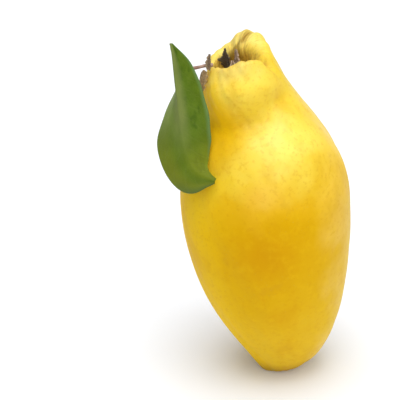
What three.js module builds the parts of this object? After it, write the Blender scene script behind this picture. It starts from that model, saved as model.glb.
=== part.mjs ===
// A ripe, pear-shaped quince, standing on a small flat spot at its stalk end.
//
// The fruit is one solid: a long body that narrows downwards, and a crown at the calyx end that is
// narrower than the body, leans to the left and closes round a creased basin. The basin holds the
// five dried lobes of the calyx and the tuft of dried stamens. One leaf hangs in front of the crown's
// left side on its own stalk, which is seated in the basin. The stub of the fruit's own stalk sits
// in a shallow pit at the back of the lower end.
//
// Millimetres. The origin is the centre of the resting spot, +Z is up, +X is to the right and -Y is
// towards the side where the leaf shows its upper face.

import * as THREE from "three";
import { mergeVertices } from "three/addons/utils/BufferGeometryUtils.js";

const RAD = Math.PI / 180;

// ---------------------------------------------------------------- driving dimensions: the fruit

// Level sections from the edge of the resting spot, up the side, over the rim of the crown and
// down the wall of the basin to its floor: [height of the centre, radius, centre's x, centre's y].
const SECTIONS = [
  [0, 5.0, 0, 0],
  [0.4, 6.8, 1.6, 0.4],
  [3.0, 10.6, 3.6, 0.8],
  [10, 15.2, 4.0, 0.4],
  [20, 20.6, 2.8, 0.2],
  [32, 25.0, 1.0, 0.2],
  [45, 28.0, 0, 0.4],
  [57, 29.3, -0.9, 0.4],
  [68, 29.5, -1.3, 0.4],
  [78, 27.8, -1.3, 0.2],
  [87, 24.2, -1.6, 0],
  [94, 20.4, -2.4, 0],
  [100, 17.2, -3.9, 0],
  [105.5, 15.2, -5.8, 0],
  [110, 13.9, -7.2, 0],
  [114, 12.3, -7.8, 0],
  [116.8, 10.4, -8.0, 0],
  [117.6, 8.8, -8.2, 0],
  [116.2, 7.6, -9.0, 0],
  [113.8, 6.6, -9.8, 0],
  [111.8, 5.0, -10.6, 0],
  [111.2, 2.6, -11.0, 0],
  [111.2, 0, -11.0, 0],
];

// The sections tilt to the left with the crown, from none at one height to the most at another.
const LEAN = 11 * RAD;
const LEAN_FROM = 84;
const LEAN_TO = 128;

// Broad swellings (+) and hollows (-): [angle round the fruit in degrees, place up the profile as
// a share of it, spread in degrees, spread along the profile, amount].
const SWELLINGS = [
  [-42, 0.44, 34, 0.09, 1.4],
  [-110, 0.56, 60, 0.04, -1.6],
  [72, 0.77, 56, 0.065, 7.4],
  [138, 0.75, 24, 0.05, 1.1],
  [185, 0.66, 34, 0.045, -1.0],
  [-80, 0.77, 42, 0.05, 2.6],
  // The front of the neck: a bulge under the rim, the valley round the neck and the shoulder.
  [-92, 0.65, 46, 0.04, 1.2],
  [-138, 0.53, 30, 0.032, -1.6],
  [-92, 0.56, 30, 0.032, -2.6],
  [-48, 0.59, 26, 0.032, -2.2],
  [-70, 0.475, 36, 0.045, 2.0],
  [-112, 0.435, 42, 0.05, 1.2],
  [-138, 0.775, 22, 0.04, 0.8],
  // The rim falls away evenly from its highest point to the leaf's side.
  [108, 0.77, 30, 0.05, -2.0],
];

// Creases across the rim: [angle in degrees where it crosses the rim, degrees that it turns by
// from there to the resting spot, half width in degrees, where it is deepest on the profile,
// spread along the profile, depth].
const CREASES = [
  [-32, 110, 9, 0.76, 0.08, 3.4],
  [52, 0, 6, 0.775, 0.03, 0.8],
  [76, 0, 9, 0.82, 0.045, 1.3],
  [178, 0, 11, 0.8, 0.06, 1.6],
  [238, 0, 10, 0.83, 0.06, 1.2],
];

const RIM_PLACE = 17 / 22; // the rim's share of the way up the profile
const FRUIT_SIDES = 72;
const FRUIT_RINGS = 60;

// The swellings fade out next to the flat resting spot and on the basin's floor.
const FADED_IN_BY = 0.03;
const FADED_OUT_FROM = 0.93;

// The pit at the stalk end, in the same terms as a swelling, and the stub of the stalk in it.
const STALK_PIT = [90, 0.095, 32, 0.05, -3.6];
const STUB_RADIUS = 1.2;
const STUB_LENGTH = 1.8;
const STUB_RAISED = 0.6; // above the middle of the pit, so that its edge is clear too

// ---------------------------------------------------------------- driving dimensions: the calyx

// The dried stamens: a ragged tuft on the basin's floor.
const TUFT_AT = [-11, -0.4, 111.7];
const TUFT_RADIUS = 2.3;
const TUFT_HEIGHT = 2.4;
const TUFT_TEETH = 7;
const TUFT_TOOTH_DEPTH = 0.18; // as a share of the radius
// [height and radius as shares of the tuft's], up the outside and down into its middle.
const TUFT_PROFILE = [[0, 0.9], [0.25, 1.05], [0.75, 0.95], [1, 0.6], [0.7, 0.4], [0.55, 0.2]];

// The five dried lobes of the calyx, each as points along its middle from root to tip:
// [x, y, z, half width], with the direction that its face looks in.
const LOBE_THICKNESS = 0.8;
const LOBE_CUP = 0.5; // radians that each half turns back by at its edge
const LOBE_ROWS = 10;
const LOBE_COLUMNS = 6;
const LOBES = [
  {
    face: [-0.8, -0.5, 0.2],
    line: [[-9.2, 1.4, 114.2, 1.3], [-9.1, 1.7, 116.4, 1.4], [-8.9, 2, 118.2, 1], [-8.9, 2.2, 120.4, 0.3]],
  },
  {
    face: [0.1, -1, 0.2],
    line: [
      [-11.8, 3.6, 113, 1.2],
      [-12.2, 3.4, 115, 1.6],
      [-12.6, 2.8, 116.8, 1.8],
      [-12.5, 2.2, 118.6, 0.7],
      [-12.5, 2, 121, 0.25],
    ],
  },
  {
    face: [-0.65, -0.75, 0.1],
    line: [
      [-19.7, -2.3, 115.2, 0.9],
      [-20.4, -2.8, 113.8, 1.6],
      [-20.8, -3, 112, 1.6],
      [-21, -3.1, 109.8, 1.1],
      [-21.1, -3.2, 107.2, 0.35],
    ],
  },
  {
    face: [0.8, -0.8, 0.3],
    line: [
      [-18.2, -4.3, 116, 0.6],
      [-18.2, -3.7, 117.5, 1.3],
      [-18, -3, 119.2, 0.9],
      [-17.8, -2.6, 121, 0.25],
    ],
  },
  {
    face: [-0.2, 1, 0.3],
    line: [
      [-10.4, -4.2, 113.2, 1.3],
      [-10.4, -4.2, 114.8, 1.5],
      [-10.4, -3.7, 116.8, 1],
      [-10.3, -3, 118.4, 0.35],
    ],
  },
];

// ---------------------------------------------------------------- driving dimensions: the leaf

// The leaf's stalk, from the basin over the left of the rim and up to the blade.
const LEAF_STALK_RADIUS = 0.65;
const LEAF_STALK_SIDES = 10;
const LEAF_STALK_STEPS = 24;
const LEAF_STALK_LINE = [
  [-17, -0.7, 116.3],
  [-18.2, -1.1, 116.7],
  [-20.2, -1.7, 116.5],
  [-23.2, -2.8, 116.3],
  [-26.2, -3.2, 116.6],
  [-28.6, -4.2, 118.6],
  [-29.6, -5.6, 122],
  [-30.2, -7.2, 126.2],
];

// The blade, as points along its midrib from the stalk to the tip: [x, y, z, then for the left and
// the right half the width and the degrees by which it folds back from the face].
const BLADE_THICKNESS = 0.7;
const BLADE_CUP = 0.25;
const BLADE_LINE = [
  [-30.4, -9.4, 128, 0.6, 120, 0.6, 40],
  [-29.9, -10.4, 124.4, 2, 112, 4.8, 28],
  [-29.7, -11.5, 118.5, 4.2, 106, 8.1, 16],
  [-29.2, -13, 112.5, 7.8, 84, 9.3, 8],
  [-28.8, -14.5, 106.5, 9.8, 58, 10.1, 3],
  [-28.4, -16, 100, 11.9, 42, 10.1, 0],
  [-27.8, -17.5, 94, 12.2, 30, 9.8, 1],
  [-26.3, -19.3, 89, 9.6, 20, 8.1, 4],
  [-23.9, -20.9, 86, 10.9, 16, 5.2, 12],
  [-21.4, -22.2, 85, 4.4, 16, 2.2, 16],
  [-18.2, -23.6, 84.2, 0.9, 15, 1, 20],
];
const BLADE_FACE = [0.1, -1, 0.3];
const BLADE_ROWS = 30;
const BLADE_COLUMNS = 12;

// ---------------------------------------------------------------- shared shapes

// A point on the uniform cubic B-spline that starts at the first control point and ends at the last.
function spline(controls, t) {
  const last = controls.length - 1;
  const at = (i) =>
    i < 0
      ? controls[0].map((c, k) => 2 * c - controls[1][k])
      : i > last
        ? controls[last].map((c, k) => 2 * c - controls[last - 1][k])
        : controls[i];
  const place = Math.min(Math.max(t, 0), 1) * last;
  const i = Math.min(Math.floor(place), last - 1);
  const f = place - i;
  const weights = [(1 - f) ** 3, 3 * f ** 3 - 6 * f ** 2 + 4, -3 * f ** 3 + 3 * f ** 2 + 3 * f + 1, f ** 3];
  return controls[0].map((_, k) => weights.reduce((sum, w, j) => sum + (w * at(i - 1 + j)[k]) / 6, 0));
}

const smoothstep = (from, to, x) => {
  const t = Math.min(Math.max((x - from) / (to - from), 0), 1);
  return t * t * (3 - 2 * t);
};

// The difference of two angles in degrees, between -180 and 180.
const turnBetween = (a, b) => ((((a - b + 180) % 360) + 360) % 360) - 180;

// A closed surface of rings of points, with the first and last rings closed by a point each.
function ringed(rings, first, last) {
  const sides = rings[0].length;
  const positions = [...rings.flat(), first, last].flatMap((p) => p.toArray());
  const foot = rings.length * sides;
  const index = [];
  for (let i = 0; i < rings.length - 1; i++)
    for (let j = 0; j < sides; j++) {
      const k = (j + 1) % sides;
      const [a, b, c, d] = [i * sides + j, i * sides + k, (i + 1) * sides + k, (i + 1) * sides + j];
      index.push(a, b, c, a, c, d);
    }
  for (let j = 0; j < sides; j++) {
    const k = (j + 1) % sides;
    index.push(foot, k, j, foot + 1, foot - sides + j, foot - sides + k);
  }
  const geometry = new THREE.BufferGeometry();
  geometry.setAttribute("position", new THREE.Float32BufferAttribute(positions, 3));
  geometry.setIndex(index);
  return geometry;
}

// A thin closed sheet about a grid of points, cut into triangles alike on both of its faces.
function sheet(grid, thickness) {
  const [rows, columns] = [grid.length, grid[0].length];
  const clampRow = (i) => Math.min(Math.max(i, 0), rows - 1);
  const clampColumn = (j) => Math.min(Math.max(j, 0), columns - 1);
  const positions = [];
  for (const side of [0.5, -0.5])
    for (let i = 0; i < rows; i++)
      for (let j = 0; j < columns; j++) {
        const along = grid[clampRow(i + 1)][j].clone().sub(grid[clampRow(i - 1)][j]);
        const across = grid[i][clampColumn(j + 1)].clone().sub(grid[i][clampColumn(j - 1)]);
        const normal = across.cross(along).normalize();
        positions.push(...grid[i][j].clone().addScaledVector(normal, side * thickness).toArray());
      }
  const back = rows * columns;
  const index = [];
  for (let i = 0; i < rows - 1; i++)
    for (let j = 0; j < columns - 1; j++) {
      const a = i * columns + j;
      const [b, c, d] = [a + 1, a + columns + 1, a + columns];
      index.push(a, b, c, a, c, d, back + a, back + c, back + b, back + a, back + d, back + c);
    }
  const edge = [];
  for (let j = 0; j < columns - 1; j++) edge.push(j);
  for (let i = 0; i < rows - 1; i++) edge.push(i * columns + columns - 1);
  for (let j = columns - 1; j > 0; j--) edge.push((rows - 1) * columns + j);
  for (let i = rows - 1; i > 0; i--) edge.push(i * columns);
  edge.forEach((a, k) => {
    const b = edge[(k + 1) % edge.length];
    index.push(a, back + a, back + b, a, back + b, b);
  });
  const geometry = new THREE.BufferGeometry();
  geometry.setAttribute("position", new THREE.Float32BufferAttribute(positions, 3));
  geometry.setIndex(index);
  return geometry;
}

// The grid of a blade: at each step along its line, points across from left to right. The frame is
// the line's direction, the way its face looks, and the way across.
function bladeGrid(line, face, rows, columns, cup) {
  const looks = new THREE.Vector3(...face).normalize();
  const grid = [];
  for (let i = 0; i <= rows; i++) {
    const [x, y, z, left, leftFold = 0, right = left, rightFold = 0] = spline(line, i / rows);
    const before = new THREE.Vector3(...spline(line, i / rows - 0.01));
    const after = new THREE.Vector3(...spline(line, i / rows + 0.01));
    const along = after.sub(before).normalize();
    const across = looks.clone().cross(along).normalize();
    const behind = across.clone().cross(along).normalize();
    const row = [];
    for (let j = 0; j <= columns; j++) {
      const s = (2 * j) / columns - 1;
      const fold = (s < 0 ? leftFold : rightFold) * RAD + cup * Math.abs(s);
      const out = s * (s < 0 ? left : right);
      row.push(
        new THREE.Vector3(x, y, z)
          .addScaledVector(across, out * Math.cos(fold))
          .addScaledVector(behind, Math.abs(out) * Math.sin(fold)),
      );
    }
    grid.push(row);
  }
  return grid;
}

// ---------------------------------------------------------------- the fruit

// A point of the fruit's skin. share runs from 0 at the resting spot's edge to 1 at the basin's
// floor, and angle is in degrees round the fruit from +X.
function skinPoint(share, angle) {
  const [height, radius, x, y] = spline(SECTIONS, share);
  const step = 1e-3;
  const [h0, r0] = spline(SECTIONS, share - step);
  const [h1, r1] = spline(SECTIONS, share + step);
  const outward = new THREE.Vector2(h1 - h0, r0 - r1).normalize();
  let raised = 0;
  for (const [at, place, spread, along, amount] of [...SWELLINGS, STALK_PIT])
    raised += amount * Math.exp(-((turnBetween(angle, at) / spread) ** 2) - ((share - place) / along) ** 2);
  for (const [at, turn, width, place, along, depth] of CREASES) {
    const off = turnBetween(angle, at + turn * Math.max(RIM_PLACE - share, 0));
    raised -= depth * Math.exp(-((off / width) ** 2) - ((share - place) / along) ** 2);
  }
  raised *= smoothstep(0, FADED_IN_BY, share) * smoothstep(1, FADED_OUT_FROM, share);
  const out = radius + raised * outward.x;
  const up = raised * outward.y;
  const lean = LEAN * smoothstep(LEAN_FROM, LEAN_TO, height);
  const [c, s] = [Math.cos(angle * RAD), Math.sin(angle * RAD)];
  return new THREE.Vector3(
    x + out * c * Math.cos(lean) - up * Math.sin(lean),
    y + out * s,
    height + out * c * Math.sin(lean) + up * Math.cos(lean),
  );
}

function fruitGeometry() {
  const rings = [];
  for (let i = 0; i < FRUIT_RINGS; i++) {
    const ring = [];
    for (let j = 0; j < FRUIT_SIDES; j++)
      ring.push(skinPoint(i / FRUIT_RINGS, (360 * j) / FRUIT_SIDES));
    rings.push(ring);
  }
  return ringed(rings, new THREE.Vector3(), skinPoint(1, 0));
}

// ---------------------------------------------------------------- the calyx, stalks and leaf

function stubGeometry() {
  const [angle, place] = STALK_PIT;
  const floor = skinPoint(place, angle);
  const across = skinPoint(place, angle + 1).sub(skinPoint(place, angle - 1));
  const upwards = skinPoint(place + 0.01, angle).sub(skinPoint(place - 0.01, angle));
  const outward = across.cross(upwards).normalize();
  const geometry = new THREE.CylinderGeometry(STUB_RADIUS * 0.9, STUB_RADIUS, STUB_LENGTH, 12);
  geometry.translate(0, STUB_LENGTH / 2 + STUB_RAISED, 0);
  geometry.applyQuaternion(new THREE.Quaternion().setFromUnitVectors(new THREE.Vector3(0, 1, 0), outward));
  return geometry.translate(...floor.toArray());
}

function tuftGeometry() {
  const sides = 6 * TUFT_TEETH;
  const centre = new THREE.Vector3(...TUFT_AT);
  const rings = TUFT_PROFILE.map(([rise, reach], i) =>
    Array.from({ length: sides }, (_, j) => {
      const angle = (2 * Math.PI * j) / sides;
      const tooth = 0.5 + 0.5 * Math.cos(TUFT_TEETH * angle + 0.6 * i);
      const radius = TUFT_RADIUS * reach * (1 - TUFT_TOOTH_DEPTH * tooth);
      const height = TUFT_HEIGHT * rise * (0.6 + 0.4 * tooth);
      const [x, y] = [radius * Math.cos(angle), radius * Math.sin(angle)];
      return centre.clone().add(new THREE.Vector3(x, y, height));
    }),
  );
  const eye = centre.clone().add(new THREE.Vector3(0, 0, TUFT_HEIGHT * 0.3));
  return ringed(rings, centre, eye);
}

function lobeGeometry({ face, line }) {
  return sheet(bladeGrid(line, face, LOBE_ROWS, LOBE_COLUMNS, LOBE_CUP), LOBE_THICKNESS);
}

function leafBladeGeometry() {
  return sheet(bladeGrid(BLADE_LINE, BLADE_FACE, BLADE_ROWS, BLADE_COLUMNS, BLADE_CUP), BLADE_THICKNESS);
}

// A round rod along the leaf stalk's line, closed at both ends.
function leafStalkGeometry() {
  const steps = LEAF_STALK_STEPS;
  const pointAt = (i) => new THREE.Vector3(...spline(LEAF_STALK_LINE, i / steps));
  const points = Array.from({ length: steps + 1 }, (_, i) => pointAt(i));
  const extrudePath = new THREE.CatmullRomCurve3(points);
  const circle = new THREE.Shape().absarc(0, 0, LEAF_STALK_RADIUS, 0, 2 * Math.PI);
  const geometry = new THREE.ExtrudeGeometry(circle, { steps, curveSegments: LEAF_STALK_SIDES, extrudePath });
  geometry.deleteAttribute("normal");
  geometry.deleteAttribute("uv");
  return mergeVertices(geometry);
}

// ---------------------------------------------------------------- the assembly

const quince = new THREE.Group();
quince.name = "quince";

function add(name, geometry, color, roughness) {
  geometry.computeVertexNormals();
  const mesh = new THREE.Mesh(geometry, new THREE.MeshStandardMaterial({ color, roughness, metalness: 0 }));
  mesh.name = name;
  quince.add(mesh);
}

add("fruit", fruitGeometry(), 0xe9b925, 0.5);
add("stalk_stub", stubGeometry(), 0x6b5537, 0.8);
add("dried_stamens", tuftGeometry(), 0x54432f, 0.9);
LOBES.forEach((lobe, i) => add(`calyx_lobe_${i + 1}`, lobeGeometry(lobe), 0x4a3c31, 0.85));
add("leaf_stalk", leafStalkGeometry(), 0x8f5a4a, 0.6);
add("leaf_blade", leafBladeGeometry(), 0x657d2c, 0.5);

export default quince;
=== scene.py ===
"""A ripe pear-shaped quince with one leaf, dressed over its construction model.

Every shape is worked out in millimetres, as whole arrays, and goes into its mesh in metres.
"""

import bpy
import numpy as np
from mathutils import Matrix


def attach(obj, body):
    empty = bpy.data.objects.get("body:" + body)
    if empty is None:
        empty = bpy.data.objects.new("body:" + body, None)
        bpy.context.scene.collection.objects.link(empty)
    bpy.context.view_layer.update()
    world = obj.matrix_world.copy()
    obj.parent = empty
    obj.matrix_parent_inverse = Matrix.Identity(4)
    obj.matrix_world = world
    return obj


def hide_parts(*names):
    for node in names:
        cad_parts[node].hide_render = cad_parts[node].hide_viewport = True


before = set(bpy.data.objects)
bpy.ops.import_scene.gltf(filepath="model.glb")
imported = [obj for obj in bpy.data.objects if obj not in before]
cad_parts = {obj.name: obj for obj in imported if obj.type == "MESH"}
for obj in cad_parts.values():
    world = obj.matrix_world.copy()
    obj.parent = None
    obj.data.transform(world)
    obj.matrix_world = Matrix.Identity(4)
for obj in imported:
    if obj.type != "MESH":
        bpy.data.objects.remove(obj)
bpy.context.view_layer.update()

MM = 0.001
RNG = np.random.default_rng(12)

# ------------------------------------------------------------------ sizes shared with the solids

# Level sections of the fruit, from the resting spot's edge up the side, over the rim and down to
# the basin's floor: height of the centre, radius, centre's x and centre's y.
SECTIONS = np.array([
    [0, 5.0, 0, 0],
    [0.4, 6.8, 1.6, 0.4],
    [3.0, 10.6, 3.6, 0.8],
    [10, 15.2, 4.0, 0.4],
    [20, 20.6, 2.8, 0.2],
    [32, 25.0, 1.0, 0.2],
    [45, 28.0, 0, 0.4],
    [57, 29.3, -0.9, 0.4],
    [68, 29.5, -1.3, 0.4],
    [78, 27.8, -1.3, 0.2],
    [87, 24.2, -1.6, 0],
    [94, 20.4, -2.4, 0],
    [100, 17.2, -3.9, 0],
    [105.5, 15.2, -5.8, 0],
    [110, 13.9, -7.2, 0],
    [114, 12.3, -7.8, 0],
    [116.8, 10.4, -8.0, 0],
    [117.6, 8.8, -8.2, 0],
    [116.2, 7.6, -9.0, 0],
    [113.8, 6.6, -9.8, 0],
    [111.8, 5.0, -10.6, 0],
    [111.2, 2.6, -11.0, 0],
    [111.2, 0, -11.0, 0],
])
# The crown's sections tilt, right side up, by this many degrees between these heights.
LEAN = 11
LEAN_FROM = 84
LEAN_TO = 128
RIM_PLACE = 17 / 22  # where the rim's top lies along the profile
PROFILE_STEP = 1e-3

# Angle in degrees, place up the profile, spread in degrees, spread along the profile, amount.
SWELLINGS = [
    [-42, 0.44, 34, 0.09, 1.4],
    [-110, 0.56, 60, 0.04, -1.6],
    [72, 0.77, 56, 0.065, 7.4],
    [138, 0.75, 24, 0.05, 1.1],
    [185, 0.66, 34, 0.045, -1.0],
    [-80, 0.77, 42, 0.05, 2.6],
    [-92, 0.65, 46, 0.04, 1.2],
    [-138, 0.53, 30, 0.032, -1.6],
    [-92, 0.56, 30, 0.032, -2.6],
    [-48, 0.59, 26, 0.032, -2.2],
    [-70, 0.475, 36, 0.045, 2.0],
    [-112, 0.435, 42, 0.05, 1.2],
    [-138, 0.775, 22, 0.04, 0.8],
    [108, 0.77, 30, 0.05, -2.0],
]
STALK_PIT = [90, 0.095, 32, 0.05, -3.6]  # the hollow round the fruit's own stalk

# Angle at the rim, degrees that it turns by below it, half width in degrees, place, spread, depth.
CREASES = [
    [-32, 110, 9, 0.76, 0.08, 3.4],
    [52, 0, 6, 0.775, 0.03, 0.8],
    [76, 0, 9, 0.82, 0.045, 1.3],
    [178, 0, 11, 0.8, 0.06, 1.6],
    [238, 0, 10, 0.83, 0.06, 1.2],
]
# Swellings and creases fade in up to this place of the profile, and out from the other.
FADED_IN_BY = 0.03
FADED_OUT_FROM = 0.93

# The calyx lobes' middle lines, x, y, z and half width, and the way each one's face looks.
LOBES = {
    "calyx_lobe_1": ([-0.8, -0.5, 0.2], [
        [-9.2, 1.4, 114.2, 1.3], [-9.1, 1.7, 116.4, 1.4], [-8.9, 2, 118.2, 1], [-8.9, 2.2, 120.4, 0.3]]),
    "calyx_lobe_2": ([0.1, -1, 0.2], [
        [-11.8, 3.6, 113, 1.2], [-12.2, 3.4, 115, 1.6], [-12.6, 2.8, 116.8, 1.8],
        [-12.5, 2.2, 118.6, 0.7], [-12.5, 2, 121, 0.25]]),
    "calyx_lobe_3": ([-0.65, -0.75, 0.1], [
        [-19.7, -2.3, 115.2, 0.9], [-20.4, -2.8, 113.8, 1.6], [-20.8, -3, 112, 1.6],
        [-21, -3.1, 109.8, 1.1], [-21.1, -3.2, 107.2, 0.35]]),
    "calyx_lobe_4": ([0.8, -0.8, 0.3], [
        [-18.2, -4.3, 116, 0.6], [-18.2, -3.7, 117.5, 1.3], [-18, -3, 119.2, 0.9],
        [-17.8, -2.6, 121, 0.25]]),
    "calyx_lobe_5": ([-0.2, 1, 0.3], [
        [-10.4, -4.2, 113.2, 1.3], [-10.4, -4.2, 114.8, 1.5], [-10.4, -3.7, 116.8, 1],
        [-10.3, -3, 118.4, 0.35]]),
}
LOBE_CUP = 0.5  # radians that a blade folds by between its line and its edge

TUFT_AT = np.array([-11, -0.4, 111.7])

LEAF_STALK_RADIUS = 0.65
LEAF_STALK_LINE = np.array([
    [-17, -0.7, 116.3],
    [-18.2, -1.1, 116.7],
    [-20.2, -1.7, 116.5],
    [-23.2, -2.8, 116.3],
    [-26.2, -3.2, 116.6],
    [-28.6, -4.2, 118.6],
    [-29.6, -5.6, 122],
    [-30.2, -7.2, 126.2],
])

# The blade's midrib from stalk to tip: x, y, z, then width and fold of the left and right half.
BLADE_LINE = np.array([
    [-30.4, -9.4, 128, 0.6, 120, 0.6, 40],
    [-29.9, -10.4, 124.4, 2, 112, 4.8, 28],
    [-29.7, -11.5, 118.5, 4.2, 106, 8.1, 16],
    [-29.2, -13, 112.5, 7.8, 84, 9.3, 8],
    [-28.8, -14.5, 106.5, 9.8, 58, 10.1, 3],
    [-28.4, -16, 100, 11.9, 42, 10.1, 0],
    [-27.8, -17.5, 94, 12.2, 30, 9.8, 1],
    [-26.3, -19.3, 89, 9.6, 20, 8.1, 4],
    [-23.9, -20.9, 86, 10.9, 16, 5.2, 12],
    [-21.4, -22.2, 85, 4.4, 16, 2.2, 16],
    [-18.2, -23.6, 84.2, 0.9, 15, 1, 20],
])
BLADE_FACE = [0.1, -1, 0.3]
BLADE_CUP = 0.25

# ------------------------------------------------------------------ finer than the solids

# Waves over the skin: amount, turns round the fruit, radians along the profile, and a shift.
DIMPLES = [[0.10, 5, 21, 0.4], [0.09, 9, 33, 2.2], [0.05, 14, 58, 4.0], [0.04, 23, 90, 1.0]]
WRINKLES = [[0.16, 31, 6, 0.3], [0.12, 47, -9, 1.9], [0.1, 19, 14, 3.1]]
LIP_NICKS = [[0.16, 17, 0, 0.9], [0.12, 11, 4, 2.0]]
WRINKLES_START = 0.765
WRINKLES_IN_FULL = 0.84
LIP_PLACE = 0.755
LIP_SPREAD = 0.035

# Marks on the skin, in the swellings' order: angle, place, spread round, spread along, strength.
RUDDY_PATCHES = [[267, 0.32, 20, 0.04, 1.0], [267, 0.415, 14, 0.026, 0.5]]
RUSSET_PATCH = [*STALK_PIT[:2], 24, 0.03]

# The brown streak over the rim and down the basin: where it starts along the profile, its angle
# and half width outside, and what each of those two gains inside, from and to where.
STREAK_STARTS = (0.752, 0.768)
STREAK_ANGLE = 56
STREAK_TURN = 40
STREAK_TURNS = (0.782, 0.8)
STREAK_WIDTH = 8
STREAK_GAIN = 14
STREAK_WIDENS = (0.77, 0.81)

LOBE_THICKNESS = 0.5
LOBE_EDGE_THINNER = 0.25
LOBE_RAGGED = 0.28  # how far the tears go in, as a share of the width
LOBE_WHOLE = 0.3  # the lobe is whole up to here across it, and torn from here to its edge
HORNED_LOBE = "calyx_lobe_2"
HORN_WIDTH = 0.9
HORN_PLACE = 0.45
HORN_SPREAD = 0.05

THREADS = 34
THREAD_ROOM = 1.5  # the radius that the threads stand in
THREAD_RADIUS = 0.11
THREAD_LEANS = (0.3, 1.0)
THREAD_HEIGHTS = (1.4, 2.3)
KNOB_SWELL = 0.10
KNOB_PLACE = 0.93
KNOB_SPREAD = 0.08

STALK_MEETS_BLADE = [-30.5, -9.1, 127.7]

LEAF_THICKNESS = 0.42
LEAF_FOLD_SOFT = 0.2
LEAF_WAVE = 0.22
LEAF_GROOVE = 0.3
LEAF_GROOVE_WIDTH = 0.07  # as a share of the half width

STUB_RADIUS = 1.2
STUB_LENGTH = 1.8
STUB_RAISED = 0.6
STUB_RIDGES = 7
STUB_SPLINTERS = 5

# ------------------------------------------------------------------ the view and the light

CAMERA_DISTANCE = 0.70
CAMERA_ELEVATION = np.radians(25)
CAMERA_ROLL = np.radians(3)
FRAME_WIDTH = 0.144  # what the view spans at the resting spot's distance
SPOT_RIGHT_OF_CENTRE = 0.0266  # where the resting spot lies in the view
SPOT_BELOW_CENTRE = 0.0590
SENSOR = 36.0

# Where each lamp's light comes from, how many degrees wide it is, and its strength.
LAMPS = {"overhead": ([0.0, -0.05, 1.0], 48, 2.18), "key": ([0.28, -0.68, 0.66], 70, 1.35)}
LAMP_COLOUR = (1.0, 0.995, 0.99)
ROOM_COLOUR = (1.0, 0.99, 0.98, 1)
ROOM_STRENGTH = 0.26
TABLE_WHITES = ((0.85, 0.875, 0.92), (0.86, 0.885, 0.93))
TABLE_GLOW_COLOUR = (0.94, 0.97, 1, 1)
TABLE_GLOW = 0.075
TABLE_HALF_WIDTH = 3.0

# ------------------------------------------------------------------ surfaces


def spline(controls, t):
    """Points on the uniform cubic B-spline that starts at the first control and ends at the last."""
    controls = np.asarray(controls, float)
    last = len(controls) - 1
    padded = np.vstack([2 * controls[0] - controls[1], controls, 2 * controls[-1] - controls[-2]])
    place = np.clip(t, 0, 1) * last
    i = np.minimum(place.astype(int), last - 1)
    f = (place - i)[..., None]
    weights = [(1 - f) ** 3, 3 * f ** 3 - 6 * f ** 2 + 4, -3 * f ** 3 + 3 * f ** 2 + 3 * f + 1, f ** 3]
    return sum(w * padded[i + k] for k, w in enumerate(weights)) / 6


def smoothstep(low, high, x):
    """0 below low, 1 above high, and a smooth rise between."""
    t = np.clip((x - low) / (high - low), 0, 1)
    return t * t * (3 - 2 * t)


def turn_between(a, b):
    """The difference of two angles in degrees, between -180 and 180."""
    return (a - b + 180) % 360 - 180


def unit(vectors):
    """The vectors at length 1."""
    return vectors / np.linalg.norm(vectors, axis=-1, keepdims=True)


def ripple(angle, share, waves):
    """A sum of waves over the skin: each is its amount times the sine of its turns times the angle,
    plus its radians along the profile, plus its shift."""
    return sum(
        amount * np.sin(np.radians(angle) * turns + share * along + shift)
        for amount, turns, along, shift in waves)


def bell(share, angle, at, place, spread, along):
    """1 at an angle and place of the skin. It falls as the exponential of minus the squares of the
    angle's and the place's distances, each over its own spread."""
    return np.exp(-((turn_between(angle, at) / spread) ** 2) - ((share - place) / along) ** 2)


def crease_depth(share, angle):
    """How deep the creases cut: a bell for each, whose angle turns in step with the place below the
    rim."""
    depth = np.zeros(np.broadcast(share, angle).shape)
    for at, turn, width, place, along, deep in CREASES:
        below = np.maximum(RIM_PLACE - share, 0)
        depth += deep * bell(share, angle, at + turn * below, place, width, along)
    return depth


def fine_relief(share, angle):
    """Forms finer than the solid's: shallow dimples all over, wrinkles down the basin, and nicks
    along the lip."""
    in_basin = smoothstep(WRINKLES_START, WRINKLES_IN_FULL, share)
    at_lip = np.exp(-(((share - LIP_PLACE) / LIP_SPREAD) ** 2))
    return (ripple(angle, share, DIMPLES) + ripple(angle, share, WRINKLES) * in_basin
            + ripple(angle, share, LIP_NICKS) * at_lip)


def skin(share, angle, detail=1.0):
    """A point of the skin: its section's circle, pushed along the profile's outward direction by the
    swellings and the fine relief, less the creases, and tilted with the crown's lean."""
    height, radius, x, y = np.moveaxis(spline(SECTIONS, share), -1, 0)
    before, after = spline(SECTIONS, share - PROFILE_STEP), spline(SECTIONS, share + PROFILE_STEP)
    rise, shrink = (after - before)[..., 0], (before - after)[..., 1]
    length = np.hypot(rise, shrink)
    raised = -crease_depth(share, angle)
    for at, place, spread, along, amount in SWELLINGS + [STALK_PIT]:
        raised += amount * bell(share, angle, at, place, spread, along)
    raised += detail * fine_relief(share, angle)
    raised *= smoothstep(0, FADED_IN_BY, share) * (1 - smoothstep(FADED_OUT_FROM, 1, share))
    out = radius + raised * rise / length
    up = raised * shrink / length
    lean = np.radians(LEAN) * smoothstep(LEAN_FROM, LEAN_TO, height)
    c, s = np.cos(np.radians(angle)), np.sin(np.radians(angle))
    return np.stack([
        x + out * c * np.cos(lean) - up * np.sin(lean),
        y + out * s,
        height + out * c * np.sin(lean) + up * np.cos(lean)], -1)


def ring_faces(rows, sides):
    """Quads between closed rings, with a fan to one more point at each end."""
    i, j = np.meshgrid(np.arange(rows - 1), np.arange(sides), indexing="ij")
    k = (j + 1) % sides
    quads = np.stack([i * sides + j, i * sides + k, (i + 1) * sides + k, (i + 1) * sides + j], -1)
    j = np.arange(sides)
    k = (j + 1) % sides
    foot = rows * sides
    first = np.stack([np.full(sides, foot), k, j], -1)
    last = np.stack([np.full(sides, foot + 1), foot - sides + j, foot - sides + k], -1)
    return quads.reshape(-1, 4).tolist() + first.tolist() + last.tolist()


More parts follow.
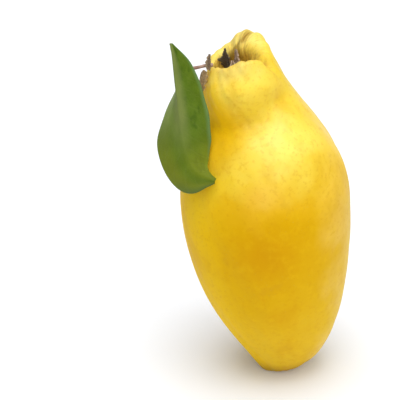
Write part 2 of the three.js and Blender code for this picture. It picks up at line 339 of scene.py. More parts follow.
def sheet_faces(rows, columns):
    """Quads of both faces of a thin sheet, and of the band that closes its edge."""
    i, j = np.meshgrid(np.arange(rows - 1), np.arange(columns - 1), indexing="ij")
    a = (i * columns + j).ravel()
    front = np.stack([a, a + 1, a + columns + 1, a + columns], -1)
    back = rows * columns + front[:, ::-1]
    edge = np.concatenate([
        np.arange(columns - 1),
        np.arange(rows - 1) * columns + columns - 1,
        (rows - 1) * columns + np.arange(columns - 1, 0, -1),
        np.arange(rows - 1, 0, -1) * columns])
    following = np.roll(edge, -1)
    half = rows * columns
    band = np.stack([edge, edge + half, following + half, following], -1)
    return front.tolist(), back.tolist(), band.tolist()


def sheet_normals(grid):
    """The way that each point of a grid faces: square to the steps across and along it."""
    return unit(np.cross(np.gradient(grid, axis=1), np.gradient(grid, axis=0)))


def thick_sheet(grid, thickness):
    """Both faces of a grid of points, half the thickness to either side along its normals."""
    half = 0.5 * thickness[..., None] * sheet_normals(grid)
    return np.concatenate([(grid + half).reshape(-1, 3), (grid - half).reshape(-1, 3)])


def blade_places(rows, columns):
    """How far each point of a blade's grid lies along it, from 0 to 1, and across it, from -1 to 1."""
    return np.meshgrid(np.linspace(0, 1, rows), np.linspace(-1, 1, columns), indexing="ij")


def blade_grid(line, face, t, s, cup, widen=1, soft=0):
    """A blade over a grid of t along its line and s from -1 to 1 across it. A point lies s times the
    width out from the line, turned back by its half's fold plus the cup times s. Soft rounds off
    the fold: the way back is then s's hypotenuse with soft, less soft times one minus s."""
    step = 0.01
    stations = spline(line, t)
    along = unit(spline(line, t + step)[..., :3] - spline(line, t - step)[..., :3])
    across = unit(np.cross(unit(np.array(face, float)), along))
    behind = unit(np.cross(across, along))
    folds = stations.shape[-1] > 4
    left, right = stations[..., 3], stations[..., 5 if folds else 3]
    left_fold, right_fold = (stations[..., 4], stations[..., 6]) if folds else (0 * left, 0 * left)
    width = np.where(s < 0, left, right) * widen
    fold = np.radians(np.where(s < 0, left_fold, right_fold)) + cup * np.abs(s)
    sideways = (s * width * np.cos(fold))[..., None] * across
    back = ((np.hypot(s, soft) - soft * (1 - np.abs(s))) * width * np.sin(fold))[..., None] * behind
    return stations[..., :3] + sideways + back


def tube_points(path, radius, sides):
    """Rings of points round a path: the path's point plus the radius times the cosine and sine of
    the turn along two directions that are square to the path."""
    never_along = np.array([0.3, 0.5, -0.81])  # a direction that no path takes
    path = np.asarray(path, float)
    along = unit(np.gradient(path, axis=-2))
    side = unit(np.cross(along, never_along))
    other = np.cross(along, side)
    angle = 2 * np.pi * np.arange(sides) / sides
    circle = np.cos(angle)[:, None] * side[..., None, :] + np.sin(angle)[:, None] * other[..., None, :]
    return path[..., None, :] + np.asarray(radius)[..., None, None] * circle


def make_piece(name, points, faces, node, materials):
    """A mesh of points in millimetres that rides with the fruit and stands for a node."""
    mesh = bpy.data.meshes.new(name)
    mesh.from_pydata((np.asarray(points) * MM).tolist(), [], faces)
    mesh.update()
    for material in materials:
        mesh.materials.append(material)
    mesh.shade_smooth()
    piece = bpy.data.objects.new(name, mesh)
    bpy.context.collection.objects.link(piece)
    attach(piece, "root")
    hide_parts(node)
    return piece


def keep(piece, name, values):
    """Store a number or a vector at each vertex, for the piece's material to read."""
    values = np.asarray(values, np.float32)
    kind, key = ("FLOAT", "value") if values.ndim == 1 else ("FLOAT_VECTOR", "vector")
    piece.data.attributes.new(name, kind, "POINT").data.foreach_set(key, values.ravel())


def keep_places(piece, t, s):
    """Store how far across and along its blade each point of both faces lies."""
    keep(piece, "blade", np.tile(np.stack([s, t, 0 * s], -1).reshape(-1, 3), (2, 1)))


# ------------------------------------------------------------------ shader expressions


class Wire:
    """A value that varies over a surface. Each operator between numbers adds its Math node."""

    def __init__(self, finish, socket):
        self.finish = finish
        self.socket = socket

    def math(self, operation, a, b=0.0):
        """One Math node over two numbers, either of which may be a wire."""
        return self.finish.node("ShaderNodeMath", {"operation": operation}, {0: a, 1: b})

    def __add__(self, other):
        return self.math("ADD", self, other)

    def __sub__(self, other):
        return self.math("SUBTRACT", self, other)

    def __rsub__(self, other):
        return self.math("SUBTRACT", other, self)

    def __mul__(self, other):
        return self.math("MULTIPLY", self, other)

    def __abs__(self):
        return self.math("ABSOLUTE", self)

    __radd__ = __add__
    __rmul__ = __mul__

    def most(self, other):
        """The larger of the two."""
        return self.math("MAXIMUM", self, other)

    def between(self, low, high):
        """0 at low, 1 at high, smooth between."""
        return self.finish.node(
            "ShaderNodeMapRange", {"interpolation_type": "SMOOTHSTEP"},
            {"Value": self, "From Min": low, "From Max": high})

    def within(self, start, full, fading, gone):
        """0 outside start and gone, 1 from full to fading, smooth between."""
        return self.between(start, full) * (1 - self.between(fading, gone))


class Finish:
    """One material and the nodes that it is made of. Constants go straight to its shader's sockets."""

    def __init__(self, name, **constants):
        self.material = bpy.data.materials.new(name)
        self.material.use_nodes = True
        self.nodes = self.material.node_tree.nodes
        self.links = self.material.node_tree.links
        self.shader = self.nodes["Principled BSDF"]
        for socket, value in constants.items():
            self.shader.inputs[socket.replace("_", " ")].default_value = value

    def node(self, kind, settings=None, inputs=None, output=0):
        """Any node: its settings first, then the value or link of each socket named."""
        node = self.nodes.new(kind)
        for name, value in (settings or {}).items():
            if name == "stops":
                ramp = node.color_ramp.elements
                while len(ramp) < len(value):
                    ramp.new(0.5)
                for element, (place, colour) in zip(ramp, value):
                    element.position = place
                    element.color = (*colour, 1)
            else:
                setattr(node, name, value)
        for name, value in (inputs or {}).items():
            self.join(value, node.inputs[name])
        return Wire(self, node.outputs[output])

    def join(self, value, socket):
        """Link a wire to a socket, or set the socket to a constant."""
        if isinstance(value, Wire):
            self.links.new(value.socket, socket)
        elif isinstance(value, tuple) and socket.type == "RGBA":
            socket.default_value = (*value, 1)
        else:
            socket.default_value = value

    def place(self):
        """Where a point of the piece is, in metres."""
        return self.node("ShaderNodeTexCoord", output="Object")

    def kept(self, name, output="Fac"):
        """What was stored at the vertices under a name."""
        return self.node("ShaderNodeAttribute", {"attribute_name": name}, output=output)

    def stretched(self, vector, scale):
        """A vector with each of its parts times its own scale."""
        return self.node("ShaderNodeMapping", {}, {"Vector": vector, "Scale": scale})

    def noise(self, vector, scale, detail=3.0, rough=0.55, warp=0.0):
        """Cloudy noise from 0 to 1."""
        return self.node("ShaderNodeTexNoise", {}, {
            "Vector": vector, "Scale": scale, "Detail": detail, "Roughness": rough, "Distortion": warp})

    def cells(self, vector, scale, feature="F1"):
        """The distance to the nearest of scattered points, or to the nearest cell edge."""
        return self.node(
            "ShaderNodeTexVoronoi", {"feature": feature}, {"Vector": vector, "Scale": scale}, "Distance")

    def parts(self, vector):
        """The three numbers of a vector."""
        split = self.node("ShaderNodeSeparateXYZ", {}, {0: vector}).socket.node
        return [Wire(self, output) for output in split.outputs]

    def mix(self, amount, a, b):
        """Colour a turned into colour b by an amount."""
        return self.node("ShaderNodeMix", {"data_type": "RGBA"}, {0: amount, 6: a, 7: b}, 2)

    def layers(self, colour, tints):
        """A colour with others laid over it in turn, each by its own amount."""
        for amount, tint in tints:
            colour = self.mix(amount, colour, tint)
        return colour

    def bump(self, height, distance, strength=1.0, under=None):
        """A normal tilted by a height, over another normal if one is given."""
        inputs = {"Height": height, "Distance": distance, "Strength": strength}
        if under is not None:
            inputs["Normal"] = under
        return self.node("ShaderNodeBump", {}, inputs)

    def wear(self, **sockets):
        """Feed the shader's varying sockets, and give the material back."""
        for name, value in sockets.items():
            self.join(value, self.shader.inputs[name.replace("_", " ")])
        return self.material


# ------------------------------------------------------------------ finishes

SKIN_GOLD = (0.71, 0.395, 0.0005)
SKIN_DEEP = (0.63, 0.29, 0.0005)
# Painted light and shade: a saturated gold laid on the left side in place of how that side is lit.
SKIN_LEFT_PAINTED_LIGHT = (0.88, 0.56, 0.0005)
# Painted light: a bright, saturated gold on the left side of the neck, which faces away from the lamps.
SKIN_NECK_SIDE_PAINTED_LIGHT = (1.0, 0.60, 0.0005)
# Painted light: a brighter gold on the left of the neck, which faces away from the lamps.
SKIN_LEFT_NECK_PAINTED_LIGHT = (0.98, 0.62, 0.008)
# Painted light: a brighter, more saturated gold on the right shoulder, where the lamps fall stronger.
SKIN_RIGHT_PAINTED_LIGHT = (1.0, 0.67, 0.06)
# Painted reflection: the lower right skin paled as if it mirrored the white room at a grazing angle.
SKIN_RIGHT_PAINTED_REFLECTION = (0.92, 0.66, 0.16)
SKIN_RUDDY_HIGH = (0.92, 0.46, 0.06)
# Painted shade: a dark brown on the end that the fruit rests on, where its contact shadow falls.
SKIN_PAINTED_CONTACT_SHADE = (0.40, 0.24, 0.02)
SKIN_BRUISE = (0.56, 0.25, 0.012)
SKIN_MOTTLE = (0.88, 0.60, 0.015)
SKIN_PORE = (0.62, 0.40, 0.07)
SKIN_SCUFF = (0.55, 0.27, 0.03)
SKIN_RUSSET = (0.42, 0.25, 0.06)
BASIN_TAN = (0.70, 0.50, 0.12)
# Dark brown deep in the basin: partly the basin's own brown and partly painted shade in the hollow.
BASIN_FLOOR = (0.25, 0.17, 0.05)
BASIN_LINE = (0.34, 0.20, 0.04)
RIM_LINE = (0.50, 0.31, 0.06)
# Painted shade: tan darkening along the creases, except on the left.
CREASE_PAINTED_SHADE = (0.52, 0.29, 0.08)
STREAK_BROWN = (0.40, 0.24, 0.04)
STREAK_DARK = (0.22, 0.12, 0.02)

SKIN_TOP = 0.13  # the height, in metres, that 1 stands for on the list of places
# Gold below and lemon at the crown; the pale stops about the shoulder are also a painted highlight.
SKIN_BY_HEIGHT = [
    (0.05, (0.77, 0.50, 0.020)),
    (0.32, (0.70, 0.405, 0.003)),
    (0.50, SKIN_GOLD),
    (0.57, (0.78, 0.455, 0.008)),
    (0.64, (0.87, 0.61, 0.040)),
    (0.71, (0.95, 0.77, 0.115)),
    (0.80, (0.86, 0.60, 0.030)),
    (0.88, (0.91, 0.68, 0.090)),
    (0.95, (0.93, 0.76, 0.200)),
]

# The heights, in metres, where a zone of the skin starts, is full, starts to fade and is gone.
# The zone of the painted light on the right shoulder.
RIGHT_SHOULDER = (0.05, 0.085, 0.095, 0.105)
# The zone of the painted shade under the neck, on the front and left.
UNDER_NECK_PAINTED_SHADE = (0.084, 0.093, 0.097, 0.105)
# The zone of the painted shade in the hollow of the waist, on the left.
WAIST_PAINTED_SHADE = (0.080, 0.095, 0.102, 0.118)
# The zone of the painted light on the left of the neck.
NECK_BRIGHT = (0.094, 0.106, 0.112, 0.124)
# The zone of the painted light on the neck's left side.
NECK_SIDE = (0.097, 0.107, 0.111, 0.124)
# The heights between which what lies below gives way to what lies above.
UP_THE_LEFT = (0.106, 0.12)
# The heights over which the painted reflection on the lower right fades out.
UP_THE_RIGHT = (0.05, 0.085)
RUDDY_TURNS = (0.065, 0.08)
# The heights over which the painted contact shade at the foot fades out.
CONTACT_SHADE_END = (0.0015, 0.007)
# Places along the profile: a zone like those of height, then pairs to rise between.
AT_RIM = (0.70, 0.78, 0.80, 0.86)
OFF_THE_LIP = (0.725, 0.76)
INTO_BASIN = (0.775, 0.84)
ONTO_FLOOR = (0.86, 0.97)


def skin_zones(finish, height, level, to_right, on_left, cloud, ruddy):
    """The broad colours: one for each height, whose pale shoulder is partly a painted highlight, then
    painted light and shade on the left, the neck, the waist and under the neck, ruddy patches, painted
    light and a painted reflection on the right, and painted contact shade on the end that it rests on.
    Each is laid over the last by its mask."""
    to_left = 0 - to_right
    # The mask, broken by clouds, of the painted light and painted reflection on the right.
    on_right = (to_right + (cloud - 0.5) * 0.8).between(0.55, 1.05)
    by_height = finish.node(
        "ShaderNodeValToRGB", {"stops": SKIN_BY_HEIGHT}, {"Fac": level * (1 / SKIN_TOP)})
    return finish.layers(by_height, [
        # Painted light and shade on the left side, below the neck.
        (on_left * (1 - level.between(*UP_THE_LEFT)) * 0.9, SKIN_LEFT_PAINTED_LIGHT),
        # Painted light on the left of the neck.
        (on_left * level.within(*NECK_BRIGHT) * 0.8, SKIN_LEFT_NECK_PAINTED_LIGHT),
        # Painted shade: deeper gold in the waist's hollow on the left.
        (level.within(*WAIST_PAINTED_SHADE) * to_left.between(0.0, 0.7) * 0.7, SKIN_GOLD),
        # Painted shade: deeper gold under the neck away from the right, which keeps the shoulder's
        # painted highlight to the right.
        (level.within(*UNDER_NECK_PAINTED_SHADE) * (1 - to_right.between(-0.05, 0.35)) * 0.3, SKIN_GOLD),
        (ruddy * 0.7, finish.mix(level.between(*RUDDY_TURNS), SKIN_DEEP, SKIN_RUDDY_HIGH)),
        # Painted light on the right shoulder.
        (on_right * level.within(*RIGHT_SHOULDER) * 0.75, SKIN_RIGHT_PAINTED_LIGHT),
        # Painted reflection, pale, on the lower right.
        (on_right * (1 - level.between(*UP_THE_RIGHT)) * 0.75, SKIN_RIGHT_PAINTED_REFLECTION),
        # Painted contact shade at the foot.
        ((1 - height.between(*CONTACT_SHADE_END)) * 0.5, SKIN_PAINTED_CONTACT_SHADE),
    ])


def skin_spots(finish, place, colour, mottle, pores):
    """Small marks all over: warm patches, specks, bruises, mottling, pores, and scuffs drawn out
    along the fruit. Each is a noise above a threshold, laid over by a share of its colour."""
    warm = finish.noise(finish.stretched(place, (1, 1, 0.7)), 70, 4, 0.6, 0.4)
    speckle = finish.noise(place, 700, 3, 0.6)
    bruise = finish.noise(place, 95, 3, 0.6).between(0.58, 0.72) * mottle.between(0.35, 0.6)
    pore_room = finish.noise(place, 90, 1).between(0.42, 0.62)
    scuff_room = finish.noise(place, 120, 2).between(0.62, 0.74)
    scuffs = finish.noise(finish.stretched(place, (3, 3, 1)), 480, 2, 0.5, 1.0).between(0.6, 0.74)
    return finish.layers(colour, [
        (warm.between(0.5, 0.72) * 0.35, SKIN_DEEP),
        (speckle.between(0.52, 0.68) * 0.26, SKIN_DEEP),
        (bruise * 0.28, SKIN_BRUISE),
        (mottle.between(0.46, 0.72) * 0.17, SKIN_MOTTLE),
        ((1 - pores.between(0.10, 0.2)) * pore_room * 0.22, SKIN_PORE),
        (scuffs * scuff_room * 0.22, SKIN_SCUFF),
    ])


def quince_skin():
    """Golden skin, lemon at the crown, with a painted highlight on the pale shoulder: its zones, which
    paint light and shade on the left, the neck and the waist, light and a reflection on the right and
    contact shade at the foot, and its spots; tan in the basin, painted shade in the creases, dark brown
    deep in the basin that is partly painted shade, brown lines down the basin and over the rim, a darker
    streak, and russet round the stalk's pit. A thin wax lies on the front and right of the shoulder."""
    finish = Finish("quince_skin", Specular_IOR_Level=0.1, Specular_Tint=(1, 0.9, 0.4, 1),
                    Coat_Roughness=0.42, Coat_IOR=1.5,
                    Subsurface_Weight=0.1, Subsurface_Scale=0.003, Subsurface_Radius=(1.0, 0.5, 0.05))
    place = finish.place()
    _, _, height = finish.parts(place)
    share, crease, streak, ruddy, russet = [
        finish.kept(name) for name in ("share", "crease", "streak", "ruddy", "russet")]
    round_axis = finish.kept("round_axis", "Vector")
    to_right, _, _ = finish.parts(round_axis)

    cloud = finish.noise(place, 55, 3)
    mottle = finish.noise(place, 260, 4, 0.65)
    pores = finish.cells(place, 620)
    lines = finish.noise(finish.stretched(round_axis, (1, 1, 0.22)), 24, 4, 0.65, 0.3)
    # The height, shifted by the clouds and the side, so that no zone ends in a level line; the shift by
    # side also sets the shoulder's painted highlight lower on the left.
    level = height + (cloud - 0.5) * 0.03 - to_right * 0.005
    # How far round to the left a point lies: the mask of the painted light and shade on the left.
    on_left = (0 - to_right).between(0.3, 0.95)
    # The mask of the painted light on the neck's left side.
    neck_side = ((cloud - 0.5) * 0.6 - to_right).between(0.45, 0.95) * level.within(*NECK_SIDE)
    in_basin = share.between(*INTO_BASIN)

    colour = skin_zones(finish, height, level, to_right, on_left, cloud, ruddy)
    colour = skin_spots(finish, place, colour, mottle, pores)
    colour = finish.layers(colour, [
        # Painted light on the neck's left side, up to the lip.
        (neck_side * (1 - share.between(*OFF_THE_LIP)) * 0.9, SKIN_NECK_SIDE_PAINTED_LIGHT),
        (in_basin * 0.45, BASIN_TAN),
        (in_basin * lines.between(0.46, 0.62) * 0.6, BASIN_LINE),
        (share.within(*AT_RIM) * lines.between(0.56, 0.68) * 0.5, RIM_LINE),
        # Painted shade in the creases.
        (crease.between(0.9, 3.0) * (1 - on_left) * 0.5, CREASE_PAINTED_SHADE),
        # The basin's floor darkened: its own brown and painted shade.
        (share.between(*ONTO_FLOOR) * 0.6, BASIN_FLOOR),
        (russet * (0.25 + mottle * 0.7), SKIN_RUSSET),
        (streak * (0.35 + lines * 0.8), STREAK_BROWN),
        (streak * lines.between(0.5, 0.6) * 0.5, STREAK_DARK),
    ])

    normal = finish.bump(finish.noise(place, 1500, 3, 0.6), 0.00012, 0.35)
    normal = finish.bump(mottle, 0.0004, 0.25, normal)
    normal = finish.bump(pores.between(0.0, 0.25), 0.00006, 0.4, normal)
    roughness = 0.5 + mottle * 0.16 + in_basin * 0.2
    shoulder = level.between(0.07, 0.095) * (1 - level.between(0.098, 0.112) * 0.85)
    wax = shoulder * 0.85 * to_right.between(-0.45, 0.1)
    return finish.wear(Base_Color=colour, Roughness=roughness, Coat_Weight=wax, Normal=normal)


VEINS_A_SIDE = 11
VEINS_WANDER = 0.9
VEIN_SWEEP = 1.7


def leaf_veins(finish, place, across, along):
    """Where the veins run: the midrib's mask, the side veins' and the net's. A side vein lies where
    the veins' number times the way along, less their sweep times the way out from the midrib, plus a
    wandering noise, comes to a whole number."""
    side = abs(across)
    sweep = along * VEINS_A_SIDE - side * VEIN_SWEEP + finish.noise(place, 130, 3) * VEINS_WANDER
    off_vein = abs(finish.node("ShaderNodeMath", {"operation": "FRACT"}, {0: sweep}) - 0.5)
    side_vein = off_vein.between(0.4, 0.495) * side.between(0.0, 0.25) * (1 - side.between(0.7, 1.0))
    midrib = 1 - side.between(0.015, 0.05)
    net = 1 - finish.cells(place, 900, "DISTANCE_TO_EDGE").between(0.0, 0.09)
    return midrib, side_vein, net


# The leaf's colours on its upper face.
LEAF_DEEP = (0.076, 0.136, 0.006)
LEAF_MID = (0.103, 0.172, 0.011)
LEAF_BLOTCH = (0.045, 0.098, 0.003)
LEAF_OLIVE = (0.260, 0.260, 0.012)
# Painted sheen: a greyer green on the upper left, where the leaf turns up towards the white room.
LEAF_PAINTED_SHEEN = (0.285, 0.365, 0.085)
LEAF_TIP = (0.062, 0.118, 0.030)
# A pale green: the pale veins, and the painted sheen in a broad band down the midrib.
LEAF_VEIN_AND_PAINTED_SHEEN = (0.215, 0.250, 0.072)
# Painted reflection: a bluish line along the right edge, as if it mirrored the white room.
LEAF_PAINTED_EDGE_REFLECTION = (0.130, 0.235, 0.085)
# And on its lower face.
UNDER_GREEN = (0.20, 0.27, 0.10)
UNDER_WOOL = (0.36, 0.42, 0.24)
UNDER_VEIN = (0.42, 0.45, 0.24)


def leaf_upper():
    """The leaf's upper face: mid green, with a broad pale band down the midrib that is partly its pale
    midrib and partly painted sheen, blotches beside it, a greyer painted sheen on the upper left, olive
    lower down, and a bluish painted reflection along the right edge."""
    finish = Finish("leaf_upper", Specular_IOR_Level=0.1)
    place = finish.place()
    across, along, _ = finish.parts(finish.kept("blade", "Vector"))
    midrib, side_vein, net = leaf_veins(finish, place, across, along)
    to_left = 0 - across
    left = to_left.between(0.1, 0.7)
    cloud = finish.noise(place, 150, 3)
    streaks = finish.noise(finish.stretched(place, (1.5, 1, 0.35)), 420, 3, 0.6, 0.5)
    blotch = finish.noise(finish.stretched(place, (1.2, 1, 0.6)), 230, 2).between(0.48, 0.62)
    # The mask of the painted sheen on the upper left.
    painted_sheen = left * (1 - along.between(0.35, 0.62))
    # The broad band down the midrib: painted sheen over the pale midrib.
    band = (1 - abs(across + 0.04).between(0.1, 0.42)) * (1 - along.between(0.4, 0.7))
    # The mask of the painted reflection along the right edge.
    edge = across.between(0.8, 0.97) * (1 - along.between(0.6, 0.8))
    colour = finish.layers(LEAF_DEEP, [
        (cloud.between(0.35, 0.65), LEAF_MID),
        (blotch * across.within(0.05, 0.25, 0.6, 0.85) * 0.75, LEAF_BLOTCH),
        (left * along.between(0.35, 0.75) * 0.45, LEAF_OLIVE),
        (across.between(-0.4, 0.1) * along.between(0.48, 0.75) * 0.34, LEAF_OLIVE),
        # Painted sheen on the upper left.
        (painted_sheen * (0.45 + streaks * 0.5), LEAF_PAINTED_SHEEN),
        (along.between(0.7, 0.85) * to_left.between(0.45, 1.0) * 0.7, LEAF_TIP),
        # Painted sheen down the midrib.
        (band * (0.45 + streaks * 0.35), LEAF_VEIN_AND_PAINTED_SHEEN),
        # Painted reflection along the right edge.
        (edge * 0.75, LEAF_PAINTED_EDGE_REFLECTION),
        (net * 0.08, LEAF_VEIN_AND_PAINTED_SHEEN),
        (side_vein * 0.06, LEAF_VEIN_AND_PAINTED_SHEEN),
        (midrib * (1 - along.between(0.4, 0.8)) * 0.12, LEAF_VEIN_AND_PAINTED_SHEEN),
    ])
    normal = finish.bump(finish.noise(place, 1800, 2), 0.00005, 0.4)
    normal = finish.bump(net, 0.00005, 0.4, normal)
    normal = finish.bump(1 - side_vein, 0.00015, 0.4, normal)
    return finish.wear(Base_Color=colour, Roughness=0.5 + cloud * 0.15, Normal=normal)


def leaf_under():
    """The leaf's lower face: grey-green and woolly, with the veins standing out."""
    finish = Finish("leaf_under", Roughness=0.8, Sheen_Weight=0.4, Sheen_Roughness=0.6)
    place = finish.place()
    across, along, _ = finish.parts(finish.kept("blade", "Vector"))
    midrib, side_vein, net = leaf_veins(finish, place, across, along)
    raised = side_vein.most(midrib)
    wool = finish.noise(finish.stretched(place, (1, 1, 0.5)), 1200, 4, 0.7)
    colour = finish.layers(UNDER_GREEN, [
        (wool.between(0.35, 0.7), UNDER_WOOL), (raised * 0.6 + net * 0.15, UNDER_VEIN)])
    normal = finish.bump(wool, 0.00015, 0.6)
    normal = finish.bump(raised, 0.0005, 0.8, normal)
    return finish.wear(Base_Color=colour, Normal=normal)


def dried_calyx(name, dark, pale, paleness):
    """Dry papery brown: fibres along the lobe halfway between its dark and its pale, then pale over
    the torn edges and in spots."""
    finish = Finish(name, Specular_IOR_Level=0.3, Sheen_Weight=0.2, Sheen_Roughness=0.5)
    blade = finish.kept("blade", "Vector")
    across, _, _ = finish.parts(blade)
    fibres = finish.noise(finish.stretched(blade, (9, 1.6, 1)), 2.2, 4, 0.7, 0.4)
    spots = finish.noise(finish.place(), 900, 3, 0.6)
    halfway = tuple(0.5 * (d + p) for d, p in zip(dark, pale))
    colour = finish.layers(dark, [
        (fibres.between(0.35, 0.7), halfway),
        (abs(across).between(0.6, 1.0) * paleness, pale),
        (spots.between(0.55, 0.75) * 0.5, pale),
    ])
    normal = finish.bump(fibres, 0.0005, 0.9)
    normal = finish.bump(spots, 0.0002, 0.6, normal)
    return finish.wear(Base_Color=colour, Roughness=0.7 + spots * 0.2, Normal=normal)


def woody(name, dark, pale, scale):
    """Dry wood: pale fibres, drawn out upwards, over dark."""
    finish = Finish(name, Specular_IOR_Level=0.3)
    fibres = finish.noise(finish.stretched(finish.place(), (1, 1, 0.3)), scale, 4, 0.7)
    colour = finish.mix(fibres.between(0.35, 0.68), dark, pale)
    normal = finish.bump(fibres, 0.0003, 0.8)
    return finish.wear(Base_Color=colour, Roughness=0.72 + fibres * 0.2, Normal=normal)


# The calyx's browns: a dark, a pale, and how much of the pale lies along the torn edges.
CALYX_BROWNS = {
    "dark": ((0.045, 0.032, 0.016), (0.24, 0.18, 0.09), 0.6),
    "pinkish": ((0.26, 0.16, 0.10), (0.66, 0.50, 0.36), 0.8),
    "tan": ((0.34, 0.20, 0.08), (0.78, 0.60, 0.32), 0.8),
    "brown": ((0.13, 0.08, 0.045), (0.50, 0.36, 0.20), 0.8),
}
LOBE_BROWNS = ["pinkish", "dark", "tan", "brown", "pinkish"]
STAMEN_BROWNS = ((0.035, 0.022, 0.014), (0.16, 0.10, 0.055))
STUB_BROWNS = ((0.07, 0.04, 0.02), (0.24, 0.16, 0.09))

STALK_RED = (0.27, 0.14, 0.10)
STALK_PINK = (0.50, 0.34, 0.27)
STALK_GREEN = (0.24, 0.26, 0.08)


def stalk_skin():
    """The leaf stalk: reddish brown with pinker clouds, green towards the blade, with faint wool."""
    finish = Finish("stalk_skin", Specular_IOR_Level=0.4, Sheen_Weight=0.3, Sheen_Roughness=0.5)
    place = finish.place()
    blush = finish.noise(place, 300, 3)
    grain = finish.noise(place, 1600, 3)
    colour = finish.layers(STALK_RED, [
        (blush.between(0.35, 0.7), STALK_PINK), (finish.kept("share").between(0.65, 1.0), STALK_GREEN)])
    normal = finish.bump(grain, 0.0001, 0.6)
    return finish.wear(Base_Color=colour, Roughness=0.5 + grain * 0.2, Normal=normal)


# ------------------------------------------------------------------ pieces

FRUIT_RINGS = 300
FRUIT_SIDES = 288
PROFILE_SPAN = 8  # the profile's length on the scale where the fruit's radius is 1


def make_fruit():
    """The whole fruit: rings of the skin's function, closed at the resting spot and basin floor.
    Each point keeps what its finish reads: the place along the profile, the creases' depth, the
    streak, the ruddy and russet patches, and the same point on a cylinder as long as the profile."""
    share = np.arange(FRUIT_RINGS)[:, None] / FRUIT_RINGS
    angle = 360 * np.arange(FRUIT_SIDES)[None, :] / FRUIT_SIDES
    share, angle = np.broadcast_arrays(share, angle)
    rings = skin(share, angle)
    ends = np.array([[0, 0, 0], skin(np.array(1.0), np.array(0.0))])
    points = np.vstack([rings.reshape(-1, 3), ends])
    fruit = make_piece(
        "quince_fruit", points, ring_faces(FRUIT_RINGS, FRUIT_SIDES), "fruit", [quince_skin()])

    share, angle = np.append(share, [0, 1]), np.append(angle, [0, 0])
    turn = np.radians(angle)
    off = turn_between(angle, STREAK_ANGLE + STREAK_TURN * smoothstep(*STREAK_TURNS, share))
    off /= STREAK_WIDTH + STREAK_GAIN * smoothstep(*STREAK_WIDENS, share)
    keep(fruit, "share", share)
    keep(fruit, "crease", crease_depth(share, angle))
    keep(fruit, "streak", np.exp(-(off ** 2)) * smoothstep(*STREAK_STARTS, share))
    keep(fruit, "ruddy", sum(
        strength * bell(share, angle, *patch) for *patch, strength in RUDDY_PATCHES))
    keep(fruit, "russet", bell(share, angle, *RUSSET_PATCH))
    keep(fruit, "round_axis", np.stack([np.cos(turn), np.sin(turn), share * PROFILE_SPAN], -1))


def make_lobe(name, face, line, finish, horn):
    """A dried lobe: a thin cupped blade. Two sines along it tear its edge, a horn juts from its
    right side, three waves crumple its face, and it thins evenly from its line to its edge."""
    rows, columns = 60, 24
    t, s = blade_places(rows, columns)
    side = np.sign(s)
    tear = LOBE_RAGGED * (0.5 * np.sin(t * 23 + 2 * side) + 0.35 * np.sin(t * 51 + side))
    tear += horn * np.exp(-(((t - HORN_PLACE) / HORN_SPREAD) ** 2)) * (s > 0)
    widen = 1 + tear * smoothstep(LOBE_WHOLE, 1, np.abs(s))
    crumple = 0.10 * np.sin(t * 17 + s * 3) + 0.07 * np.sin(t * 31 - s * 7) + 0.12 * np.cos(s * 9)
    grid = blade_grid(line, face, t, s, LOBE_CUP, widen)
    grid += crumple[..., None] * unit(np.array(face, float))
    thickness = LOBE_THICKNESS - LOBE_EDGE_THINNER * np.abs(s)
    front, back, band = sheet_faces(rows, columns)
    lobe = make_piece(
        name.replace("calyx_lobe", "dried_lobe"), thick_sheet(grid, thickness), front + back + band,
        name, [finish])
    keep_places(lobe, t, s)


def make_calyx():
    """The five dried lobes, darkest in the middle of the basin and paler where one folds outwards."""
    finishes = {name: dried_calyx("calyx_" + name, *brown) for name, brown in CALYX_BROWNS.items()}
    for (name, (face, line)), brown in zip(LOBES.items(), LOBE_BROWNS):
        make_lobe(name, face, line, finishes[brown], HORN_WIDTH if name == HORNED_LOBE else 0)


def make_stamens():
    """Dried threads. Each one's height grows evenly along it, its distance from the tuft's middle by
    the square of that, and its angle sways by a sine. A knob swells near its end."""
    steps, sides = 9, 6
    angle = 2 * np.pi * RNG.random(THREADS)
    root = THREAD_ROOM * np.sqrt(RNG.random(THREADS))
    lean = RNG.uniform(*THREAD_LEANS, THREADS)
    tall = RNG.uniform(*THREAD_HEIGHTS, THREADS)
    along = np.linspace(0, 1, steps)
    reach = root[:, None] + lean[:, None] * 0.8 * along ** 2
    turn = angle[:, None] + 0.35 * np.sin(along * 4 + angle[:, None])
    path = np.stack([reach * np.cos(turn), reach * np.sin(turn), tall[:, None] * along], -1) + TUFT_AT
    knob = KNOB_SWELL * np.exp(-(((along - KNOB_PLACE) / KNOB_SPREAD) ** 2))
    rings = tube_points(path, np.broadcast_to(THREAD_RADIUS + knob, (THREADS, steps)), sides)
    points = np.concatenate([rings.reshape(THREADS, -1, 3), path[:, [0, -1]]], 1)
    per = points.shape[1]
    faces = [[v + per * k for v in face] for k in range(THREADS) for face in ring_faces(steps, sides)]
    make_piece("stamen_threads", points.reshape(-1, 3), faces, "dried_stamens",
               [woody("stamen_brown", *STAMEN_BROWNS, 1800)])


def make_leaf_stalk():
    """A tube along the stalk's line and on to the blade, thicker where it starts, with fine
    unevenness and a taper into the midrib."""
    steps, sides = 90, 20
    t = np.linspace(0, 1, steps)
    path = spline(np.vstack([LEAF_STALK_LINE, STALK_MEETS_BLADE]), t)
    taper = 0.25 * (1 - smoothstep(0, 0.12, t)) - 0.4 * smoothstep(0.85, 1, t)
    rings = tube_points(path, LEAF_STALK_RADIUS * (0.88 + taper + 0.05 * np.sin(t * 40)), sides)
    points = np.vstack([rings.reshape(-1, 3), path[[0, -1]]])
    stalk = make_piece(
        "petiole", points, ring_faces(steps, sides), "leaf_stalk", [stalk_skin()])
    keep(stalk, "share", np.append(np.repeat(t, sides), [0, 1]))


